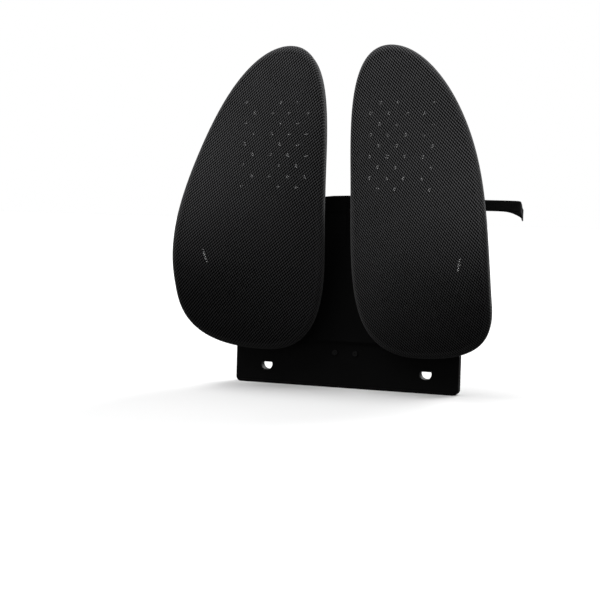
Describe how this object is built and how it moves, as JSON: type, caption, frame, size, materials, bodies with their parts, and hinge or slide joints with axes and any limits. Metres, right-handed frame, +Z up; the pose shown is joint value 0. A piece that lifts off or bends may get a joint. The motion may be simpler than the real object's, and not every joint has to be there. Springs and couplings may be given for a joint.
{
  "type": "lumbar back support",
  "caption": "Chair back support with paired egg-shaped mesh wings that swing and tilt on sprung pivots, a flat back plate, and an elastic strap round the backrest.",
  "frame": {"origin": "centre of the middle grip pad's rear face, which bears on the chair's backrest", "axes": "+Z up along the back plate, +Y backwards into the chair's backrest, -Y towards the sitter, +X to the viewer's right from in front"},
  "size_m": [0.4774, 0.1829, 0.476],
  "materials": {
    "wing_mesh": "matte air-mesh fabric",
    "shell_plastic": "fine textured",
    "plate_plastic": "satin moulded",
    "rubber": "matte",
    "steel": "dark zinc",
    "elastic_webbing": "woven elastic"
  },
  "bodies": {
    "back": {"back_plate": "plate_plastic", "block_screw_1_left": "steel", "block_screw_1_right": "steel", "block_screw_2_left": "steel", "block_screw_2_right": "steel", "block_screw_3_left": "steel", "block_screw_3_right": "steel", "block_screw_4_left": "steel", "block_screw_4_right": "steel", "buckle_plug": "plate_plastic", "buckle_socket": "plate_plastic", "grip_pad_centre": "rubber", "grip_pad_left": "rubber", "grip_pad_right": "rubber", "loop_screw_left": "steel", "loop_screw_right": "steel", "pin_clip_left": "steel", "pin_clip_right": "steel", "pivot_block_left": "plate_plastic", "pivot_block_right": "plate_plastic", "rear_cover": "plate_plastic", "spine_cover": "plate_plastic", "spine_screw_left": "steel", "spine_screw_right": "steel", "strap_left": "elastic_webbing", "strap_loop_left": "plate_plastic", "strap_loop_right": "plate_plastic", "strap_right": "elastic_webbing", "strap_slider": "plate_plastic", "swing_pin_left": "steel", "swing_pin_right": "steel"},
    "left_arm": {"swing_arm_left": "plate_plastic", "swing_bush_left": "rubber", "tilt_pin_left": "steel"},
    "left_wing": {"wing_cover_left": "wing_mesh", "wing_shell_left": "shell_plastic", "cover_retainer_left": "shell_plastic", "wing_hub_left": "plate_plastic", "tilt_bush_left": "rubber", "hub_screw_1_left": "steel", "hub_screw_2_left": "steel", "hub_screw_3_left": "steel"},
    "right_arm": {"swing_arm_right": "plate_plastic", "swing_bush_right": "rubber", "tilt_pin_right": "steel"},
    "right_wing": {"wing_cover_right": "wing_mesh", "wing_shell_right": "shell_plastic", "cover_retainer_right": "shell_plastic", "wing_hub_right": "plate_plastic", "tilt_bush_right": "rubber", "hub_screw_1_right": "steel", "hub_screw_2_right": "steel", "hub_screw_3_right": "steel"}
  },
  "joints": [
    {"name": "left_wing_swing", "type": "hinge", "parent": "back", "child": "left_arm", "pos_m": [-0.11657, -0.04125, 0.065], "axis": [0, 0, -1], "range_deg": [-5, 12], "stiffness_Nm_per_rad": 8},
    {"name": "left_wing_tilt", "type": "hinge", "parent": "left_arm", "child": "left_wing", "pos_m": [-0.108, -0.07, 0.065], "axis": [-0.9583, -0.2857, 0], "range_deg": [-3, 6], "stiffness_Nm_per_rad": 12},
    {"name": "right_wing_swing", "type": "hinge", "parent": "back", "child": "right_arm", "pos_m": [0.11657, -0.04125, 0.065], "axis": [0, 0, 1], "range_deg": [-5, 12], "stiffness_Nm_per_rad": 8},
    {"name": "right_wing_tilt", "type": "hinge", "parent": "right_arm", "child": "right_wing", "pos_m": [0.108, -0.07, 0.065], "axis": [-0.9583, 0.2857, 0], "range_deg": [-3, 6], "stiffness_Nm_per_rad": 12}
  ]
}
